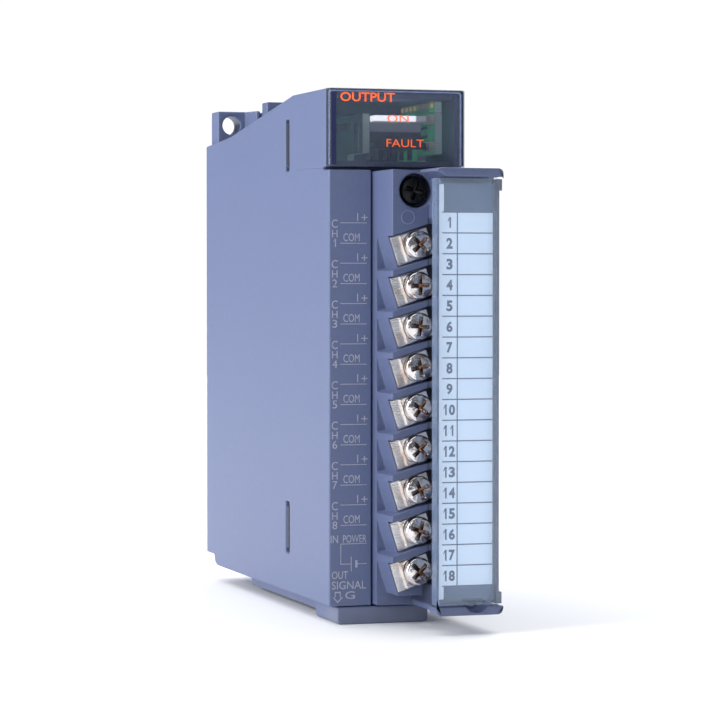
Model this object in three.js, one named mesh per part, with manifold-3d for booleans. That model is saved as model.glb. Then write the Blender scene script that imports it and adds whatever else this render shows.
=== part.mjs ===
// Analog output module for a rack-mounted programmable controller, with a removable
// 18-point screw terminal block on its front. Millimetres, +Z up, front towards -Y.
//
// The pieces are laid out in a working frame: X from the left face, Y from the front of the
// indicator window towards the rear, Z from the underside of the case. The exported group
// moves that frame so that the origin is the centre of the rear seating face.
import * as THREE from "three";
import { mergeVertices } from "three/addons/utils/BufferGeometryUtils.js";
import Module from "manifold-3d";

const wasm = await Module();
wasm.setup();

// ---------------------------------------------------------------- driving dimensions
const WIDTH = 27.4; // left face to right face
const DEPTH = 90; // window front to rear seating face
const GAP = 0.3; // clearance between neighbouring pieces
const WALL = 1.8; // moulded case wall
const COVER_WALL = 1.6; // right side cover

const ROWS = 9; // slanted wiring channels, two terminals in each
const PITCH = 7.62; // from one channel to the next
const PARTITION = 1.2; // wall between two channels, measured upright
const SLANT = THREE.MathUtils.degToRad(17.5); // channels rise to the right
const CHANNEL_BASE = 1.32; // height of the lowest channel's underside at the block's left
const HEAD_SPACE = 12.4; // solid part of the block above the first channel
const WINDOW_HEIGHT = 14.8;
const WINDOW_DEPTH = 2; // how far the window's rim reaches back
const WINDOW_SKIN = 1;
const WINDOW_CORNER = 0.8; // rounding of the window's upright front edges
const WINDOW_SEAM = 0.6; // shadow gap under the indicator window
const SEAM_DEPTH = 3.9;
const STRIP_WIDTH = 8.45; // legend strip to the left of the block's pocket

const BLOCK_UNDER = 0.2; // height of the block's underside
const BLOCK_SIDE_INSET = 0.6; // right face of the block behind the right face of the case
const BLOCK_REACH = 11.6; // front of the left terminal column, ahead of the window
const COLUMN_REACH = 16.9; // front of the right terminal column
const ARM_REACH = 22; // front of the arms and of the terminal cover
const ARM_THICK = 1.6;
const POCKET_DEPTH = 9.3;
const CHANNEL_FLOOR = 2.4; // channel floor ahead of the window plane
const SEAT_LEFT = 8.7; // pedestal under the left terminals, ahead of the window plane
const SEAT_RIGHT = 13.7;
const COLUMN_LEFT = 5.3; // left terminal screws from the block's left face
const COLUMN_RIGHT = 5.3; // right terminal screws from the block's right face
const COLUMN_STEP = 7.3; // where the front steps out to the right column
const LAST_FOOT = 2.6; // flat foot of the lowest pedestal

const PLATE_THICK = 0.6;
const WASHER_THICK = 0.6;
const PLATE_TAIL = 1.7; // the left plates reach past their washers
const LEG_WIDTH = 3;
const LEG_THICK = 0.8;
const HEADER_NOSE = 4; // front of the header behind the window plane
const LEG_ENGAGEMENT = 3.5; // length of a leg inside the header
const SCREW_HEAD_RADIUS = 2.6;
const SCREW_HEAD_HEIGHT = 1.8;
const SHANK_RADIUS = 1.5;
const RECESS_ARM = 3.2; // tip to tip of a cross recess
const RECESS_SLOT = 0.8;

const FIXING_INSET = 3.9; // block fixing screws from the block's top and underside
const FIXING_TOP_X = 4.7; // upper screw from the block's left face
const FIXING_BOTTOM_X = 4.2; // lower screw from the block's right face
const FIXING_SHANK = 1.3;
const INSERT_LENGTH = 2.4; // threaded inserts behind the pocket
const FIXING_TOP_HEAD = 2.7;
const FIXING_BOTTOM_HEAD = 2.0;
const FIXING_HEAD_HEIGHT = 2;
const FIXING_ROOM = 0.5; // recess round a fixing screw's head
const MOUTH_BEVEL = 0.4;

const HINGE_INSET_X = 1.6; // cover's hinge axis from the block's right face
const HINGE_INSET_Y = 1.7; // cover's hinge axis behind its front face
const HINGE_PIN = 0.9;
const HINGE_PIN_REACH = 1.1; // how far the cover's pins stick into the arms
const COVER_LEFT = 5.1; // left edge of the cover from the block's left face
const COVER_RIGHT = 0.8; // right edge of the cover from the block's right face
const COVER_SKIN = 1;
const COVER_SIDE = 0.6;
const COVER_END = 0.8;
const COVER_RETURN = 3; // depth of the cover's side walls
const CARD_THICK = 0.3;
const NOTCH_FROM_RIGHT = 5.1; // finger notch in the lower arm, from the block's right face
const NOTCH_DEPTH = 1.2;
const NOTCH_WIDTH = 4.3;

const BOARD_THICK = 1.6;
const BOARD_LEFT = 8; // left face of the output board
const SIDE_GAP = 1.6; // main board to the right cover
const BOARD_INSET = 5.5; // board edges inside the case profile
const BOARD_REAR = 14; // rear edge of the boards from the seating face
const BOARD_FRONT = 4.5; // front edge of the boards' tongues behind the window
const BOSS_RADIUS = 2.5; // stand-offs that hold the boards
const RUN_BELOW_TOP = 5.5; // upper indicator from the top of the case
const ERROR_BELOW_TOP = 10.6;
const GUIDE_BAR = 1.2; // thickness of the light guide's bars
const LATCH_Y = 28; // snap arms of the right cover, behind the window front
const LATCH_THICK = 1.6;
const LATCH_LENGTH = 8.6;
const LATCH_INSET = 5.4; // from the top of the case to the upper arm
const LATCH_INSET_LOW = 8.5; // from the underside of the case to the lower arm
const LATCH_ROOM = 0.8; // opening round an arm's end

const LUG_WIDTH = 6.7;
const LUG_THICK = 5.6;
const LUG_LEFT = 1.2;
const LUG_RISE = 7.4; // lug above the rear top edge
const LUG_HOLE = 2;
const LUG_HOLE_RISE = 4.4; // centre of the lug's hole above the rear top edge
const HOOK_LEFT = 9.8;
const HOOK_WIDTH = 8.1;
const HOOK_RISE = 9.1; // top of the finger pad above the rear top edge
const HOOK_PIN = 1;
const HOOK_PIN_FORWARD = 5; // hook's cross pin from the seating face
const GUARD_WALL = 0.9;
const GUARD_LENGTH = 10;

const LIP_X = [1.6, 19.8]; // lip that hangs under the front of the case
const LIP_DROP = 3.5;
const LIP_LENGTH = 14;
const RAIL_WIDTH = 1.8; // foot rails along the underside
const RAIL_DROP = 2.5;
const RAIL_LEFT = 3;
const RAIL_RIGHT = 7.6;
const RAIL_Y = [10, 25.4]; // from the window front, and from the seating face
const PEG_WIDTH = 3; // locating pegs that enter the backplane
const PEG_REACH = 2.8;
const PEG_Z = [3.6, 7];
const PEG_LEFT = 5.7; // pegs' left sides from the middle of the case
const PEG_RIGHT = 2.7;
const VENT_COUNT = 5;
const VENT_FIRST = 32;
const VENT_PITCH = 6;
const VENT_WIDTH = 2.2;
const VENT_SIDE = 6; // ends of the top vents from the sides of the case
const VENT_CUT = 12; // height of the tool that opens the sloping top

const REAR_OPENING_WIDTH = 14; // opening for the connector in the rear wall
const REAR_OPENING_SHIFT = -0.2; // its middle from the middle of the case
const REAR_OPENING_LOW = 4; // its lower edge above the middle of the case
const REAR_OPENING_HIGH = 3.9; // its upper edge below the rear top edge
const PLUG_ROOM = 1; // connector's shroud inside that opening
const PLUG_SET_BACK = 3.5; // connector's face from the seating face
const PLUG_LENGTH = 7.5;
const PLUG_WALL = [1.6, 2]; // shroud's walls at the sides and at the ends
const PLUG_FLANGE = 4.5;
const CHIP_THICK = 1.7;
const CAN_RADIUS = 4; // capacitor
const CAN_LENGTH = 10.2;
const CONVERTER_THICK = 10.7;

// ---------------------------------------------------------------- derived sizes
const RISE = Math.tan(SLANT);
const blockLeft = STRIP_WIDTH + 0.25; // a hair less than GAP beside the legend strip
const blockRight = WIDTH - BLOCK_SIDE_INSET;
const blockTop = CHANNEL_BASE + ROWS * PITCH + HEAD_SPACE;
const windowBottom = blockTop + GAP + WINDOW_SEAM;
const HEIGHT = windowBottom + WINDOW_HEIGHT;
const REAR_TOP = HEIGHT - 7.1;
const coverInside = WIDTH - COVER_WALL;
const shellRight = coverInside - GAP;
const mainBoardRight = coverInside - SIDE_GAP;
const mainBoardLeft = mainBoardRight - BOARD_THICK;
const outputBoardRight = BOARD_LEFT + BOARD_THICK;
const betweenBoards = [outputBoardRight + GAP, mainBoardLeft - GAP];
const columns = [blockLeft + COLUMN_LEFT, blockRight - COLUMN_RIGHT];
const channelHeight = PITCH - PARTITION;
const washerSide = channelHeight * Math.cos(SLANT) - 2 * GAP;
const plateCorner = (washerSide / 2) * (Math.cos(SLANT) + Math.sin(SLANT));
const channelRight = columns[1] + plateCorner + GAP;
const legShift = washerSide / 2 - LEG_THICK / 2;
const legX = [columns[0] + legShift * Math.cos(SLANT), columns[1] - legShift * Math.cos(SLANT)];
const FAR = 200; // past everything, for cutting tools

// ---------------------------------------------------------------- materials
const finish = (color, roughness, metalness = 0) =>
  new THREE.MeshStandardMaterial({ color, roughness, metalness });
const casePlastic = () => finish(0x6d7796, 0.55);
const blockPlastic = () => finish(0x5f6a8c, 0.5);
const smokyPlastic = () => finish(0x48525f, 0.15);
const clearPlastic = () => finish(0xa9c8ee, 0.1);
const boardGreen = () => finish(0x2c6e4f, 0.5);
const nickel = () => finish(0xc9c4bd, 0.25, 1);
const blackSteel = () => finish(0x15161a, 0.4, 0.7);
const brass = () => finish(0xb08d4a, 0.35, 1);

// ---------------------------------------------------------------- solids
// A closed geometry as a solid. Seams are merged and collapsed triangles dropped.
function solid(geometry) {
  const bare = geometry.clone();
  bare.deleteAttribute("normal");
  bare.deleteAttribute("uv");
  const merged = mergeVertices(bare, 1e-4);
  const corners = merged.index.array;
  const kept = [];
  for (let i = 0; i < corners.length; i += 3) {
    const [a, b, c] = [corners[i], corners[i + 1], corners[i + 2]];
    if (a !== b && b !== c && c !== a) kept.push(a, b, c);
  }
  const vertProperties = new Float32Array(merged.attributes.position.array);
  const triVerts = new Uint32Array(kept);
  return new wasm.Manifold(new wasm.Mesh({ numProp: 3, vertProperties, triVerts }));
}

const join = (first, ...others) => others.reduce((sum, one) => sum.add(one), first);
const cut = (first, ...others) => others.reduce((rest, one) => rest.subtract(one), first);

// A box from its three ranges.
function box([x0, x1], [y0, y1], [z0, z1]) {
  const geometry = new THREE.BoxGeometry(x1 - x0, y1 - y0, z1 - z0);
  return solid(geometry.translate((x0 + x1) / 2, (y0 + y1) / 2, (z0 + z1) / 2));
}

// A round bar along Y, or a cone when the two radii differ.
function barY(x, z, [y0, y1], frontRadius, segments = 16, rearRadius = frontRadius) {
  const geometry = new THREE.CylinderGeometry(rearRadius, frontRadius, y1 - y0, segments);
  return solid(geometry.translate(x, (y0 + y1) / 2, z));
}

// A round bar along X.
function barX(y, z, [x0, x1], radius, segments = 16) {
  const geometry = new THREE.CylinderGeometry(radius, radius, x1 - x0, segments);
  return solid(geometry.rotateZ(-Math.PI / 2).translate((x0 + x1) / 2, y, z));
}

// A round bar along Z.
function barZ(x, y, [z0, z1], radius, segments = 12) {
  const geometry = new THREE.CylinderGeometry(radius, radius, z1 - z0, segments);
  return solid(geometry.rotateX(Math.PI / 2).translate(x, y, (z0 + z1) / 2));
}

function shapeOf(points) {
  return new THREE.Shape(points.map(([a, b]) => new THREE.Vector2(a, b)));
}

// An outline in the Y-Z plane carried along X.
function prismX(shape, [x0, x1]) {
  const geometry = new THREE.ExtrudeGeometry(shape, { depth: x1 - x0, bevelEnabled: false });
  const turn = new THREE.Matrix4().makeBasis(
    new THREE.Vector3(0, 1, 0),
    new THREE.Vector3(0, 0, 1),
    new THREE.Vector3(1, 0, 0),
  );
  return solid(geometry.applyMatrix4(turn).translate(x0, 0, 0));
}

// An outline in the X-Z plane carried along Y.
function prismY(shape, [y0, y1]) {
  const settings = { depth: y1 - y0, bevelEnabled: false, curveSegments: 4 };
  const geometry = new THREE.ExtrudeGeometry(shape, settings);
  return solid(geometry.rotateX(Math.PI / 2).translate(0, y1, 0));
}

// An outline in the X-Y plane carried along Z.
function prismZ(shape, [z0, z1]) {
  const settings = { depth: z1 - z0, bevelEnabled: false, curveSegments: 4 };
  return solid(new THREE.ExtrudeGeometry(shape, settings).translate(0, 0, z0));
}

function roundedRectangle([a0, a1], [b0, b1], radius) {
  const shape = new THREE.Shape();
  shape.moveTo(a0 + radius, b0);
  shape.absarc(a1 - radius, b0 + radius, radius, -Math.PI / 2, 0);
  shape.absarc(a1 - radius, b1 - radius, radius, 0, Math.PI / 2);
  shape.absarc(a0 + radius, b1 - radius, radius, Math.PI / 2, Math.PI);
  shape.absarc(a0 + radius, b0 + radius, radius, Math.PI, 1.5 * Math.PI);
  return shape;
}

// The same outline moved inwards by a wall thickness.
function inset(points, distance) {
  const line = (i) => {
    const [a, b] = [points[i % points.length], points[(i + 1) % points.length]];
    const length = Math.hypot(b[0] - a[0], b[1] - a[1]);
    const normal = [-(b[1] - a[1]) / length, (b[0] - a[0]) / length];
    return [...normal, normal[0] * a[0] + normal[1] * a[1] + distance];
  };
  return points.map((_, i) => {
    const [a, b] = [line(i + points.length - 1), line(i)];
    const det = a[0] * b[1] - a[1] * b[0];
    return [(a[2] * b[1] - a[1] * b[2]) / det, (a[0] * b[2] - a[2] * b[0]) / det];
  });
}

const group = new THREE.Group();
group.name = "plc_module";
const layout = new THREE.Group();
layout.position.set(-WIDTH / 2, -DEPTH, -HEIGHT / 2);
group.add(layout);

// One named piece: a solid's triangles with its material, at a place in the layout.
function piece(name, body, material, place = [0, 0, 0], turnY = 0) {
  const data = body.getMesh();
  const geometry = new THREE.BufferGeometry();
  geometry.setAttribute("position", new THREE.BufferAttribute(data.vertProperties, 3));
  geometry.setIndex(new THREE.BufferAttribute(data.triVerts, 1));
  geometry.computeVertexNormals();
  const mesh = new THREE.Mesh(geometry, material);
  mesh.name = name;
  mesh.position.set(...place);
  mesh.rotation.y = turnY;
  layout.add(mesh);
}

// ---------------------------------------------------------------- case profile
// Seen from the side: a flat top that falls towards the rear, and a stepped rear foot.
const profile = [
  [0, 0],
  [DEPTH - 8.5, 0],
  [DEPTH - 6.9, 0.5],
  [DEPTH - 6, 2.2],
  [DEPTH, 2.2],
  [DEPTH, REAR_TOP],
  [DEPTH - 16, HEIGHT - 6.2],
  [DEPTH - 22, HEIGHT - 5.7],
  [DEPTH - 27, HEIGHT - 5],
  [24, HEIGHT],
  [0, HEIGHT],
];
// The same profile with a plain foot, from which the inside of the case is taken.
const roomProfile = [profile[0], profile[1], [DEPTH - 6.5, 2.2], ...profile.slice(4)];
const pocketTop = blockTop + GAP;
const windowSeat = WINDOW_DEPTH + GAP; // the case starts behind the window's rim
const pocketWall = STRIP_WIDTH - WALL;
const pocketRear = POCKET_DEPTH + WALL;
const boardFront = pocketRear + INSERT_LENGTH + 2 * GAP;

// What the window, the shadow gap and the block's pocket take out of either half of the case.
const frontCuts = [
  box([-FAR, FAR], [-FAR, windowSeat], [windowBottom - WINDOW_SEAM, FAR]),
  box([-FAR, FAR], [-FAR, SEAM_DEPTH], [windowBottom - WINDOW_SEAM, windowBottom]),
  box([STRIP_WIDTH, FAR], [-FAR, POCKET_DEPTH], [-FAR, pocketTop]),
];

// ---------------------------------------------------------------- terminals' places
const channelTop = (row, x) => CHANNEL_BASE + (ROWS - row) * PITCH + RISE * (x - blockLeft);
const channelMiddle = (row, x) => channelTop(row, x) - channelHeight / 2;

const terminals = [];
for (let row = 0; row < ROWS; row += 1) {
  for (const column of [1, 0]) {
    const number = String(terminals.length + 1).padStart(2, "0");
    const x = columns[column];
    terminals.push({ number, row, column, x, z: channelMiddle(row, x) });
  }
}
const seats = [-SEAT_LEFT, -SEAT_RIGHT];
const plateRears = seats.map((seat) => seat - GAP);
const washerFronts = plateRears.map((rear) => rear - PLATE_THICK - WASHER_THICK);
const legEnd = HEADER_NOSE + LEG_ENGAGEMENT;

// The block's two fixing screws stand at opposite corners.
const fixings = [
  {
    name: "top",
    x: blockLeft + FIXING_TOP_X,
    z: blockTop - FIXING_INSET,
    head: FIXING_TOP_HEAD,
    mouth: -BLOCK_REACH,
  },
  {
    name: "bottom",
    x: blockRight - FIXING_BOTTOM_X,
    z: BLOCK_UNDER + FIXING_INSET,
    head: FIXING_BOTTOM_HEAD,
    mouth: -COLUMN_REACH,
  },
];

// The header's socket nose reaches into the back of the block around all the legs.
const headerX = [legX[0] - 1.6, legX[1] + 1.6];
const headerZ = [
  channelMiddle(ROWS - 1, legX[0]) - 0.75 * LEG_WIDTH,
  channelMiddle(0, legX[1]) + 0.75 * LEG_WIDTH,
];
const widen = ([low, high], by) => [low - by, high + by];

// ---------------------------------------------------------------- housing
const around = (middle, size) => [middle - size / 2, middle + size / 2];
const rearOpeningX = around(WIDTH / 2 + REAR_OPENING_SHIFT, REAR_OPENING_WIDTH);
const rearOpeningZ = [HEIGHT / 2 + REAR_OPENING_LOW, REAR_TOP - REAR_OPENING_HIGH];
const latchZ = [
  [LATCH_INSET_LOW, LATCH_INSET_LOW + LATCH_LENGTH],
  [HEIGHT - LATCH_INSET - LATCH_LENGTH, HEIGHT - LATCH_INSET],
];
const latchY = around(LATCH_Y, LATCH_THICK);
const hookPin = { y: DEPTH - HOOK_PIN_FORWARD, z: REAR_TOP + LUG_HOLE_RISE };
const hookX = [HOOK_LEFT, HOOK_LEFT + HOOK_WIDTH];
const guardX = widen(hookX, GAP);
const guardZ = [REAR_TOP - 1, REAR_TOP + LUG_RISE];
const insertRadius = FIXING_SHANK + 1;
// Stand-offs, as places in the Y-Z plane: two low, and one high at the rear.
const bosses = [
  [18, 12],
  [DEPTH - 20, 12],
  [DEPTH - 20, HEIGHT - 20],
];

function makeHousing() {
  const cavity = prismX(shapeOf(inset(roomProfile, WALL)), [WALL, FAR]);
  const pocketWalls = [
    box([pocketWall, shellRight], [POCKET_DEPTH - 1, pocketRear], [0.5, pocketTop + WALL]),
    box([pocketWall, STRIP_WIDTH], [0.5, pocketRear], [0.5, pocketTop + WALL]),
    box([1, shellRight], [SEAM_DEPTH - 1, pocketRear], [pocketTop, pocketTop + WALL]),
  ];
  const standOffs = bosses.map(([y, z]) => barX(y, z, [1, BOARD_LEFT - GAP], BOSS_RADIUS, 12));
  const lip = prismY(roundedRectangle(LIP_X, [-LIP_DROP, 1.5], 0.9), [0, LIP_LENGTH]);
  const lipRoom = box([-FAR, FAR], [-FAR, POCKET_DEPTH], [-GAP / 2, FAR]);
  const railY = [RAIL_Y[0], DEPTH - RAIL_Y[1]];
  const rails = [RAIL_LEFT, WIDTH - RAIL_RIGHT - RAIL_WIDTH].map((x) =>
    box([x, x + RAIL_WIDTH], railY, [-RAIL_DROP, 0.5]),
  );
  const pegs = [WIDTH / 2 - PEG_LEFT, WIDTH / 2 + PEG_RIGHT].map((x) =>
    box([x, x + PEG_WIDTH], [DEPTH - 1, DEPTH + PEG_REACH], PEG_Z),
  );

  const lugRight = LUG_LEFT + LUG_WIDTH;
  const lugHoleX = LUG_LEFT + (LUG_WIDTH - 0.6) / 2;
  const lug = box([LUG_LEFT, lugRight], [DEPTH - LUG_THICK, DEPTH], [REAR_TOP - 3, guardZ[1]]);
  const lugHole = barY(lugHoleX, REAR_TOP + LUG_HOLE_RISE, [DEPTH - 9, FAR], LUG_HOLE, 24);
  const guardFront = DEPTH - GUARD_LENGTH;
  const brace = prismZ(
    shapeOf([
      [lugRight - 0.5, DEPTH - LUG_THICK],
      [guardX[0] - GUARD_WALL, guardFront],
      [guardX[0], guardFront],
      [guardX[0], DEPTH],
      [lugRight - 0.5, DEPTH],
    ]),
    guardZ,
  );
  const guard = box([guardX[1], guardX[1] + GUARD_WALL], [guardFront, DEPTH], guardZ);
  const pinHole = barX(hookPin.y, hookPin.z, [guardX[0] - 1, FAR], HOOK_PIN + GAP, 12);

  const shell = cut(prismX(shapeOf(profile), [0, shellRight]), cavity);
  const outside = join(shell, ...pocketWalls, ...standOffs, ...rails, ...pegs, lug, brace, guard);
  const pocketBack = [POCKET_DEPTH - 1, FAR];
  const opened = cut(
    outside,
    ...frontCuts,
    lugHole,
    pinHole,
    box(rearOpeningX, [DEPTH - 5, FAR], rearOpeningZ),
    box(widen(headerX, GAP), [pocketBack[0], pocketRear + WALL], widen(headerZ, GAP)),
    ...fixings.map(({ x, z }) =>
      barY(x, z, [pocketBack[0], pocketRear + INSERT_LENGTH], FIXING_SHANK + GAP, 12),
    ),
    ...fixings.map(({ x, z }) => barY(x, z, [pocketRear, boardFront], insertRadius + GAP, 16)),
    ...latchZ.map((z) =>
      box([-1, WALL + 1], [latchY[0] - LATCH_ROOM, latchY[1] + GAP], widen(z, LATCH_ROOM)),
    ),
  );
  const slots = [];
  for (let i = 0; i < VENT_COUNT; i += 1) {
    const y = [VENT_FIRST + i * VENT_PITCH, VENT_FIRST + i * VENT_PITCH + VENT_WIDTH];
    slots.push(box([VENT_SIDE, WIDTH - VENT_SIDE], y, [HEIGHT - VENT_CUT, FAR]));
    slots.push(box([VENT_SIDE + 1, WIDTH - VENT_SIDE - 5], y, [-FAR, WALL + 1.2]));
  }
  return join(cut(opened, ...slots), cut(lip, lipRoom));
}
piece("housing", makeHousing(), casePlastic());

// ---------------------------------------------------------------- right side cover
function makeRightCover() {
  const plate = prismX(shapeOf(profile), [coverInside, WIDTH]);
  const ringRoom = WALL + GAP;
  const ring = cut(
    prismX(shapeOf(inset(roomProfile, ringRoom)), [coverInside - 1.2, WIDTH - 0.5]),
    prismX(shapeOf(inset(roomProfile, ringRoom + 1.2)), [-FAR, coverInside]),
    box([-FAR, coverInside], [-FAR, boardFront], [-FAR, FAR]),
  );
  const pads = bosses.map(([y, z]) =>
    barX(y, z, [mainBoardRight + GAP, WIDTH - 0.5], BOSS_RADIUS, 12),
  );
  const arms = latchZ.map((z) => box([GAP / 2, WIDTH - 0.5], latchY, z));
  return cut(join(plate, ring, ...pads, ...arms), ...frontCuts);
}
piece("right_cover", makeRightCover(), casePlastic());

// ---------------------------------------------------------------- indicator window
const tongueZ = [windowBottom + 2.8, HEIGHT - 4.5]; // boards' tongues behind the window
function makeWindow() {
  const plan = roundedRectangle([0, WIDTH], [0, 3 * WINDOW_DEPTH], WINDOW_CORNER);
  const outer = prismZ(plan, [windowBottom, HEIGHT]);
  const inner = box(
    [WINDOW_SKIN, WIDTH - WINDOW_SKIN],
    [WINDOW_SKIN, FAR],
    [windowBottom + WINDOW_SKIN, HEIGHT - WINDOW_SKIN],
  );
  const cap = cut(outer, inner, box([-FAR, FAR], [WINDOW_DEPTH, FAR], [-FAR, FAR]));
  const legs = [
    [pocketTop + WALL + GAP, tongueZ[0] - GAP],
    [tongueZ[1] + GAP, HEIGHT - WALL - GAP],
  ].map((z) => box([WIDTH - 7, WIDTH - 3], [0.5, 8], z));
  return join(cap, ...legs);
}
piece("led_window", makeWindow(), smokyPlastic());

// ---------------------------------------------------------------- indicators and light guide
const indicatorZ = [HEIGHT - RUN_BELOW_TOP, HEIGHT - ERROR_BELOW_TOP];
const guideX = [betweenBoards[0], mainBoardLeft - 2.2];
function makeLightGuide() {
  const bars = indicatorZ.map((z) => box(guideX, [2.8, 7], around(z, GUIDE_BAR)));
  const web = box(guideX, [6, 7.2], [indicatorZ[1], indicatorZ[0]]);
  return join(web, ...bars);
}
piece("light_guide", makeLightGuide(), finish(0xe9edf2, 0.3));
["led_run", "led_error"].forEach((name, i) => {
  const z = indicatorZ[i];
  const body = join(
    box([guideX[1] + GAP + 0.5, mainBoardLeft - GAP], [3.6, 6.4], around(z, 1.8)),
    barX(5, z, [guideX[1] + GAP, guideX[1] + 1.2], 0.8, 12),
  );
  piece(name, body, finish(0xd8d2c0, 0.3));
});

// ---------------------------------------------------------------- circuit boards
// Both boards share one outline: a tongue reaches forward over the pocket to the window,
// and open slots let the right cover's snap arms pass.
const boardRear = DEPTH - BOARD_REAR;
function makeBoard(left) {
  const outline = shapeOf([
    [boardFront, BOARD_INSET],
    [boardRear, BOARD_INSET],
    [boardRear, HEIGHT - 12],
    [24, tongueZ[1]],
    [BOARD_FRONT, tongueZ[1]],
    [BOARD_FRONT, tongueZ[0]],
    [boardFront, tongueZ[0]],
  ]);
  const slot = widen(latchY, 0.6);
  return cut(
    prismX(outline, [left, left + BOARD_THICK]),
    box([-FAR, FAR], slot, [-FAR, latchZ[0][1] + 0.6]),
    box([-FAR, FAR], slot, [latchZ[1][0] - 0.6, FAR]),
  );
}
piece("main_board", makeBoard(mainBoardLeft), boardGreen());
piece("output_board", makeBoard(BOARD_LEFT), boardGreen());
piece(
  "board_link",
  box(betweenBoards, [DEPTH - 24, DEPTH - 17], [HEIGHT / 2 - 20, HEIGHT / 2 + 10]),
  finish(0x24262b, 0.5),
);

// ---------------------------------------------------------------- rear connector
const plugX = widen(rearOpeningX, -PLUG_ROOM);
const plugZ = widen(rearOpeningZ, -PLUG_ROOM);
const plugFace = DEPTH - PLUG_SET_BACK;
function makeRearConnector() {
  const plugRear = plugFace - PLUG_LENGTH;
  const shroud = box(plugX, [plugRear, plugFace], plugZ);
  const flangeY = [boardRear + 0.5, boardRear + 0.5 + PLUG_FLANGE];
  const flange = box([plugX[0], betweenBoards[1]], flangeY, plugZ);
  const mouth = box(
    widen(plugX, -PLUG_WALL[0]),
    [plugFace - 3, FAR],
    widen(plugZ, -PLUG_WALL[1]),
  );
  const blade = box(widen(plugX, -4.4), [plugFace - 4, plugFace - 0.6], widen(plugZ, -4));
  return join(cut(join(shroud, flange), mouth), blade);
}
piece("backplane_connector", makeRearConnector(), finish(0x1d1f24, 0.45));

// ---------------------------------------------------------------- components on the boards
const onMainBoard = (thick) => [mainBoardLeft - GAP - thick, mainBoardLeft - GAP];
const onOutputBoard = (thick) => [outputBoardRight + GAP, outputBoardRight + GAP + thick];
const chipResin = () => finish(0x1b1c1f, 0.4);
piece("dc_converter", box(onMainBoard(CONVERTER_THICK), [40, 60], [22, 44]), chipResin());
piece("control_chip", box(onMainBoard(CHIP_THICK), [36, 54], [54, 72]), chipResin());
piece("output_chip", box(onOutputBoard(CHIP_THICK), [20, 30], [34, 50]), chipResin());
const can = barX(26, 30, onMainBoard(CAN_LENGTH), CAN_RADIUS, 20);
piece("capacitor", can, finish(0x39415c, 0.3, 0.4));

// ---------------------------------------------------------------- header for the terminal block
// A hole for one leg, a named gap wider all round than the leg.
function legHole({ column, x, z }, [y0, y1]) {
  const width = LEG_THICK + 2 * GAP;
  const geometry = new THREE.BoxGeometry(width, y1 - y0, LEG_WIDTH + 2 * GAP);
  const side = column === 0 ? 1 : -1;
  geometry.translate(side * legShift, (y0 + y1) / 2, 0);
  return solid(geometry.rotateY(-SLANT).translate(x, 0, z));
}

function makeHeader() {
  const nose = box(headerX, [HEADER_NOSE, pocketRear + 1], headerZ);
  const flange = box(
    [headerX[0] - 1.2, headerX[1]],
    [pocketRear + GAP, pocketRear + 1.9],
    [headerZ[0], headerZ[1] + 1],
  );
  const sockets = terminals.map((terminal) => legHole(terminal, [0, legEnd + GAP]));
  return cut(join(nose, flange), ...sockets);
}
piece("terminal_header", makeHeader(), finish(0x22242a, 0.5));

fixings.forEach(({ name, x, z }) => {
  const from = pocketRear + GAP;
  const insert = cut(
    barY(x, z, [from, from + INSERT_LENGTH], insertRadius, 12),
    barY(x, z, [0, FAR], FIXING_SHANK + GAP, 12),
  );
  piece("fixing_nut_" + name, insert, brass());
});

// ---------------------------------------------------------------- terminal block
const seatFixing = -SEAT_LEFT;
// A slanted channel's outline between two upright lines.
function channelShape(row, x0, x1, bottom) {
  const low = bottom === undefined ? (x) => channelTop(row, x) - channelHeight : () => bottom;
  return shapeOf([
    [x0, low(x0)],
    [x1, low(x1)],
    [x1, channelTop(row, x1)],
    [x0, channelTop(row, x0)],
  ]);
}

// The open wedge at the left of a channel, ahead of its square-ended pedestal.
function wedgeShape(row) {
  const top = channelTop(row, blockLeft);
  const last = row === ROWS - 1;
  const drop = last ? top - LAST_FOOT : channelHeight / (1 + RISE * RISE);
  const foot = [blockLeft + drop * RISE, top - drop];
  const outside = blockLeft - 1;
  return shapeOf([
    [outside, last ? LAST_FOOT : foot[1] - RISE * (foot[0] - outside)],
    foot,
    [blockLeft, top],
    [outside, top - RISE],
  ]);
}

const blockRear = POCKET_DEPTH - 0.6;
const stepX = blockLeft + COLUMN_STEP;
const shelfX = columns[0] + plateCorner + GAP; // the pedestal steps up beyond the left plates
const armInner = [BLOCK_UNDER - 0.1 + ARM_THICK, blockTop - ARM_THICK];
const hinge = { x: blockRight - HINGE_INSET_X, y: -ARM_REACH + HINGE_INSET_Y };
const coverX = [blockLeft + COVER_LEFT, blockRight - COVER_RIGHT];
const shankLength = PLATE_THICK + WASHER_THICK + 5;

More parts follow.
